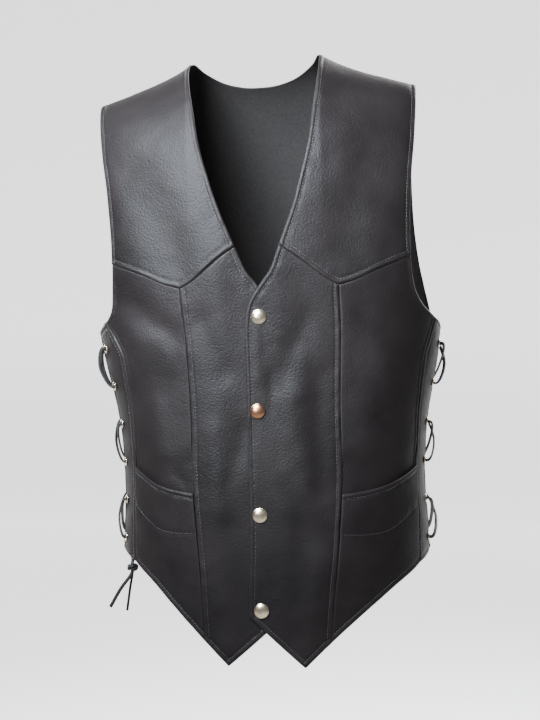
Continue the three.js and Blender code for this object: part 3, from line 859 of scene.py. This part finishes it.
def build_seam_allowance(name, side, kind, rows, short_top, short_end):
    """The turned edges that lie behind a seam and close it from inside."""
    middle = seam(rows, rows[0][1] - short_top, rows[-1][1] + short_end)

    def beside(reach):
        return lambda share: middle(share) + np.array([reach, 0.0])

    def across(down):
        return curve([tuple(beside(reach)(np.array(down))) for reach in (-ALLOWANCE, ALLOWANCE)])

    edges = {
        "top": across(0.0),
        "bottom": across(1.0),
        "left": beside(-ALLOWANCE),
        "right": beside(ALLOWANCE),
    }
    made, _ = leather_panel(
        f"allowance_{kind}_{name}", edges, side, behind, (), (), [FLESH, FLESH]
    )
    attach(made, "root")


def back_edges():
    ridge = [BACK_ARMHOLE[0], tuple(curve([BACK_ARMHOLE[0], BACK_NECK[0]])(np.array(0.5)))]
    neck = BACK_NECK[:-1] + other_half(BACK_NECK)[::-1]
    shoulder = 2 / 12

    def top(share):
        share = np.asarray(share, float)
        near = curve([ridge[0], BACK_NECK[0]])(np.clip(share / shoulder, 0, 1))
        middle = curve(neck)(np.clip((share - shoulder) / (1 - 2 * shoulder), 0, 1))
        far = curve(other_half([BACK_NECK[0], ridge[0]]))(np.clip((share - 1 + shoulder) / shoulder, 0, 1))
        inner = np.where((share > 1 - shoulder)[..., None], far, middle)
        return np.where((share < shoulder)[..., None], near, inner)

    def edge_of(rows_above, rows_below):
        split = (len(rows_above) - 1) / (len(rows_above) + len(rows_below) - 2)
        return joined(rows_above, rows_below, split)

    return {
        "top": top,
        "bottom": curve([BACK_STRIP_SEAM[-1], other_half(BACK_STRIP_SEAM)[-1]]),
        "left": edge_of(BACK_ARMHOLE, BACK_STRIP_SEAM),
        "right": edge_of(other_half(BACK_ARMHOLE), other_half(BACK_STRIP_SEAM)),
    }


def build_back():
    around = ("top", "bottom", "left", "right")
    skins = [BACK_LEATHER, FLESH]
    made, threads = leather_panel(
        "leather_back", back_edges(), 1, no_out, around, around, skins, cell=BACK_CELL
    )
    finish_panel(made, "back", threads)


# Hardware
def fitting_matrix(turn, run, out):
    point, normal, up = (np.ravel(part) for part in leather_frame(turn, run))
    across = unit(np.cross(normal, up))
    matrix = Matrix([list(across), list(normal), list(np.cross(across, normal))]).transposed().to_4x4()
    lift = out + float(line_height(np.array(float(turn)), np.array(float(run)), FOLDS))
    matrix.translation = Vector(point + normal * lift)
    return matrix


def turned(name, profile, segments, matrix, material):
    """A piece turned round its own +Y, from (radius, height) points."""
    vertices, faces = [], []
    rings = []
    for radius, height in profile:
        if radius < 1e-6:
            rings.append([len(vertices)])
            vertices.append(matrix @ Vector((0, height, 0)))
            continue
        ring = []
        for k in range(segments):
            angle = 2 * math.pi * k / segments
            ring.append(len(vertices))
            vertices.append(matrix @ Vector((radius * math.sin(angle), height, radius * math.cos(angle))))
        rings.append(ring)
    for low, high in zip(rings[:-1], rings[1:]):
        for k in range(segments):
            a, b = low[k % len(low)], low[(k + 1) % len(low)]
            c, d = high[(k + 1) % len(high)], high[k % len(high)]
            corners = list(dict.fromkeys([a, b, c, d]))
            if len(corners) > 2:
                faces.append(tuple(corners))
    return mesh_object(name, [list(v) for v in vertices], faces, [material])


def rounded(profile, steps=4, share=0.28):
    """A profile with its corners eased."""
    points = [np.array(p, float) for p in profile]
    eased = [points[0]]
    for before, here, after in zip(points[:-2], points[1:-1], points[2:]):
        start, end = here + (before - here) * share, here + (after - here) * share
        for t in np.linspace(0, 1, steps):
            eased.append((1 - t) ** 2 * start + 2 * t * (1 - t) * here + t**2 * end)
    return eased + [points[-1]]


def build_snaps():
    cap, dome, shank, back, seat = (SNAP[key] for key in ("cap", "dome", "shank", "back", "seat"))
    crown = [
        (cap * math.cos(a) * 0.92, seat + 1.0 + (dome - 1.0) * math.sin(a))
        for a in np.linspace(0.1, math.pi / 2, 9)
    ]
    cap_profile = [
        (0, -LEATHER - 0.1),
        (shank, -LEATHER - 0.1),
        (shank, seat),
        (cap - 0.5, seat),
        (cap, seat + 0.35),
        (cap, seat + 0.95),
        (cap * 0.95, seat + 1.15),
        *crown[:-1],
        (0, seat + dome),
    ]
    stud_profile = [
        (0, -LEATHER - 1.2),
        (back, -LEATHER - 1.0),
        (back, -LEATHER - seat - 0.1),
        (shank, -LEATHER - seat - 0.1),
        (shank, 0.1),
        (0, 0.1),
    ]
    halves = (("cap", rounded(cap_profile), 1), ("stud", rounded(stud_profile), -1))
    for i, (turn, run) in enumerate(SNAP_PLACES, 1):
        for kind, profile, level in halves:
            metal = REDDISH_CAP_METAL if (kind, i) == ("cap", REDDISH_CAP) else NICKEL
            matrix = fitting_matrix(turn, run, level * LAYER_STEP / 2)
            made = turned(f"nickel_{kind}_{i}", profile, 48, matrix, metal)
            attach(made, "root")
            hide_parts(f"snap_{kind}_{i}")


def eyelets_on(edge, inset):
    return [
        (float(np.interp(-run, [-r for _, r in edge], [t for t, _ in edge])) + inset, run)
        for run in (EYELET_TOP - row * EYELET_PITCH for row in range(EYELET["rows"]))
    ]


FRONT_EYELETS = eyelets_on(STRIP_EDGE, -EYELET_INSET)
BACK_EYELETS = eyelets_on(BACK_STRIP_EDGE, EYELET_INSET)


def build_eyelets(name, side):
    flange, barrel, bore, lip, seat = (EYELET[key] for key in ("flange", "barrel", "bore", "lip", "seat"))
    roll = [
        (bore + (flange - bore) * (0.5 - 0.5 * math.cos(a)), seat + lip * math.sin(a))
        for a in np.linspace(math.pi, 0, 9)
    ]
    profile = [
        (bore, -LEATHER - seat - 0.7),
        (flange - 0.6, -LEATHER - seat),
        (barrel, -LEATHER - seat),
        (barrel, seat),
        *roll,
        (bore, -LEATHER - seat - 0.7),
    ]
    for place, rows in (("front", FRONT_EYELETS), ("back", BACK_EYELETS)):
        for row, (turn, run) in enumerate(rows, 1):
            matrix = fitting_matrix(side * turn, run, 0)
            made = turned(f"ring_{place}_{name}_{row}", profile, 28, matrix, NICKEL)
            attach(made, "root")
            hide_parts(f"eyelet_{place}_{name}_{row}")


# Laces
def lace_points(name, side):
    """The points of a lace's route, tail to tail, as in the part."""
    stand_off, cross, over = (LACE_SLACKNESS[name][key] for key in ("stand", "cross", "over"))

    def on(turn, run, out):
        return np.ravel(leather_point(np.array(float(turn)), np.array(float(run)), np.array(float(out))))

    def middle(a, b, out):
        return on(side * (a[0] + b[0]) / 2, (a[1] + b[1]) / 2, out)

    def pass_out(eyelet):
        levels = (-LEATHER - stand_off, -LEATHER / 2, stand_off)
        return [on(side * eyelet[0], eyelet[1], out) for out in levels]

    last = EYELET["rows"] - 1

    def rungs(start, lift):
        points = []
        for row in range(last):
            odd = (row + start) % 2
            here, there = (BACK_EYELETS, FRONT_EYELETS) if odd else (FRONT_EYELETS, BACK_EYELETS)
            outside = row % 2 == 0
            depth = cross + lift if outside else -LEATHER - LACE["under"] - lift
            points.append(middle(here[row], there[row + 1], depth))
            through = pass_out(there[row + 1])
            points += through[::-1] if outside else through
        return points

    bar = middle(FRONT_EYELETS[0], BACK_EYELETS[0], -LEATHER - LACE["under"])
    down = pass_out(FRONT_EYELETS[0]) + rungs(0, 0)
    up = rungs(1, over)[::-1] + pass_out(BACK_EYELETS[0])[::-1]
    knot_at = LACE_KNOTS[name]
    knot = on(side * knot_at["turn"], knot_at["run"], knot_at["out"])

    def ending(hand, eyelet):
        slack_turn = knot_at["turn"] + LACE_SLACK["turn"] * (eyelet[0] - knot_at["turn"])
        slack_run = knot_at["run"] + LACE_SLACK["run"] * (eyelet[1] - knot_at["run"])
        points = [on(side * slack_turn, slack_run, knot_at["out"] - LACE_SLACK["in"])]
        for away, drop, share, longer, spread, apart in TAIL_ROUTE:
            outward = side * knot_at["splay"] * (spread - hand * apart)
            fall = drop + knot_at["tail"] * share + hand * longer
            points.append(knot + np.array([outward, hand * away, -fall]))
        return points

    front, back = ending(-1, FRONT_EYELETS[last]), ending(1, BACK_EYELETS[last])
    return knot, np.array(front[::-1] + up + [bar] + down + back)


def through(points, steps):
    """A smooth line through points, each span in the same number of steps."""
    ends = [2 * points[0] - points[1], *points, 2 * points[-1] - points[-2]]
    line = []
    for p0, p1, p2, p3 in zip(ends[:-3], ends[1:-2], ends[2:-1], ends[3:]):
        g0, g1, g2 = (math.sqrt(np.linalg.norm(b - a)) for a, b in ((p0, p1), (p1, p2), (p2, p3)))
        slope_in = ((p1 - p0) / g0 - (p2 - p0) / (g0 + g1) + (p2 - p1) / g1) * g1
        slope_out = ((p2 - p1) / g1 - (p3 - p1) / (g1 + g2) + (p3 - p2) / g2) * g1
        for t in np.arange(steps) / steps:
            line.append(
                p1
                + slope_in * t
                + (3 * (p2 - p1) - 2 * slope_in - slope_out) * t**2
                + (slope_in + slope_out - 2 * (p2 - p1)) * t**3
            )
    return np.array(line + [points[-1]])


def tube(name, line, radius, sides, material, squash=1.0):
    """A closed tube whose section keeps its direction along the line."""
    tangents = unit(np.gradient(line, axis=0))
    side_way = unit(np.cross(tangents[0], [0.3, 0.9, 0.2]))
    vertices, faces = [], []
    for centre, tangent in zip(line, tangents):
        side_way = unit(side_way - tangent * (side_way @ tangent))
        other = np.cross(tangent, side_way)
        for k in range(sides):
            angle = 2 * np.pi * k / sides
            vertices.append(centre + radius * (np.cos(angle) * side_way + squash * np.sin(angle) * other))
    for ring in range(len(line) - 1):
        for k in range(sides):
            low, high = ring * sides, (ring + 1) * sides
            faces.append((low + k, low + (k + 1) % sides, high + (k + 1) % sides, high + k))
    last = (len(line) - 1) * sides
    faces.append(tuple(reversed(range(sides))))
    faces.append(tuple(last + k for k in range(sides)))
    return mesh_object(name, vertices, faces, [material])


def knot_loop():
    """A trefoil, the way a lace goes round in a simple knot."""
    angle = np.linspace(0, 2 * np.pi, KNOT["points"])
    lobe = KNOT["ring"] + KNOT["lobe"] * np.cos(3 * angle)
    x = lobe * np.cos(2 * angle) * KNOT["squash"]
    y = lobe * np.sin(2 * angle) * KNOT["squash"]
    return np.stack([x, y, KNOT["depth"] * np.sin(3 * angle)], -1)


def build_lace(name, side):
    knot, points = lace_points(name, side)
    line = through(points, 8)
    lace = tube(f"thong_{name}", line, LACE["half_width"], 12, LACE_LEATHER, squash=LACE["flatness"])
    wrap = tube(
        f"thong_knot_{name}",
        knot + knot_loop(),
        LACE["half_width"],
        12,
        LACE_LEATHER,
        squash=LACE["flatness"],
    )
    for made, stands_for in ((lace, f"lace_{name}"), (wrap, f"lace_knot_{name}")):
        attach(made, "root")
        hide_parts(stands_for)


# Camera, light and backdrop, in metres
COOL = (0.82, 0.91, 1)
WHITE = (1, 1, 1)
# Lights: name, place, aim, size, power, tint, beam in degrees
LIGHTS = [
    ("key", (-0.55, -1.15, 0.8), (-0.08, -0.1, 0.02), (0.9, 0.7), 38, COOL, 60),
    ("chest", (-0.45, -1.15, 0.05), (-0.1, -0.1, -0.1), (0.4, 0.4), 2.6, COOL, 44),
    ("back_key", (1.5, 2.2, 1.2), (0, 0.1, -0.3), (1.4, 1.6), 190, WHITE, 180),
    ("back_fill", (-1.9, 1.8, 0.5), (0, 0.1, -0.3), (1.0, 1.6), 70, WHITE, 180),
]


def set_camera():
    camera = bpy.data.cameras.new("camera")
    camera.sensor_width = PHOTO["sensor"]
    camera.lens = PHOTO["sensor"] * VIEW["distance"] / PHOTO["mm_per_pixel"] / PHOTO["height"]
    made = bpy.data.objects.new("camera", camera)
    level = np.array([-math.sin(VIEW["turn"]), math.cos(VIEW["turn"]), 0]) * math.cos(VIEW["above"])
    forward = level - np.array([0, 0, math.sin(VIEW["above"])])
    made.location = Vector((np.array(AIM) - VIEW["distance"] * forward) * MM)
    made.rotation_euler = Vector(forward).to_track_quat("-Z", "Y").to_euler()
    bpy.context.scene.collection.objects.link(made)
    bpy.context.scene.camera = made


def area_light(name, place, aim, size, power, tint, beam):
    light = bpy.data.lights.new(name, "AREA")
    light.shape = "RECTANGLE"
    light.size, light.size_y = size
    light.energy = power
    light.color = tint
    light.spread = math.radians(beam)
    made = bpy.data.objects.new(name, light)
    made.location = place
    made.rotation_euler = (Vector(aim) - Vector(place)).to_track_quat("-Z", "Y").to_euler()
    bpy.context.scene.collection.objects.link(made)


def set_light():
    world = bpy.data.worlds.new("studio")
    bpy.context.scene.world = world
    world.use_nodes = True
    world.node_tree.nodes["Background"].inputs["Color"].default_value = (0.93, 0.94, 0.96, 1)
    world.node_tree.nodes["Background"].inputs["Strength"].default_value = 0.28
    for light in LIGHTS:
        area_light(*light)


# Pale floor and backdrop paper that glows as painted light: no glow up to 0.4 m behind the vest, rising to
# full strength from 2.6 m back
def build_floor():
    mesh = bpy.data.meshes.new("floor")
    far, low, high, bend = 8.0, -1.45, 8.0, 1.0
    profile = [(-far, low), (far - bend, low)]
    for a in np.linspace(0.2, math.pi / 2, 8):
        profile.append((far - bend + bend * math.sin(a), low + bend * (1 - math.cos(a))))
    profile.append((far, high))
    vertices = [(x, y, z) for y, z in profile for x in (-far, far)]
    faces = [(2 * i, 2 * i + 1, 2 * i + 3, 2 * i + 2) for i in range(len(profile) - 1)]
    mesh.from_pydata(vertices, [], faces)
    mesh.shade_smooth()
    material, nodes, links, shader = new_material("glowing_floor_paper")
    shader.inputs["Base Color"].default_value = (0.9, 0.9, 0.9, 1)
    shader.inputs["Roughness"].default_value = 0.9
    shader.inputs["Emission Color"].default_value = (1, 1, 1, 1)
    place = node(nodes, "ShaderNodeTexCoord").outputs["Object"]
    split = node(nodes, "ShaderNodeSeparateXYZ")
    # Painted light: the glow grows with distance behind the vest
    glow = node(nodes, "ShaderNodeMapRange", {"From Min": 0.4, "From Max": 2.6, "To Max": 1.3})
    links.new(place, split.inputs["Vector"])
    links.new(split.outputs["Y"], glow.inputs["Value"])
    links.new(glow.outputs["Result"], shader.inputs["Emission Strength"])
    mesh.materials.append(material)
    made = bpy.data.objects.new("floor", mesh)
    bpy.context.scene.collection.objects.link(made)


set_camera()
for side_name, side_sign in SIDES.items():
    build_lace(side_name, side_sign)
for side_name, side_sign in SIDES.items():
    build_front(side_name, side_sign)
    for turned_seam in SEAMS_TURNED:
        build_seam_allowance(side_name, side_sign, *turned_seam)
    build_eyelets(side_name, side_sign)
build_back()
build_snaps()
set_light()
build_floor()
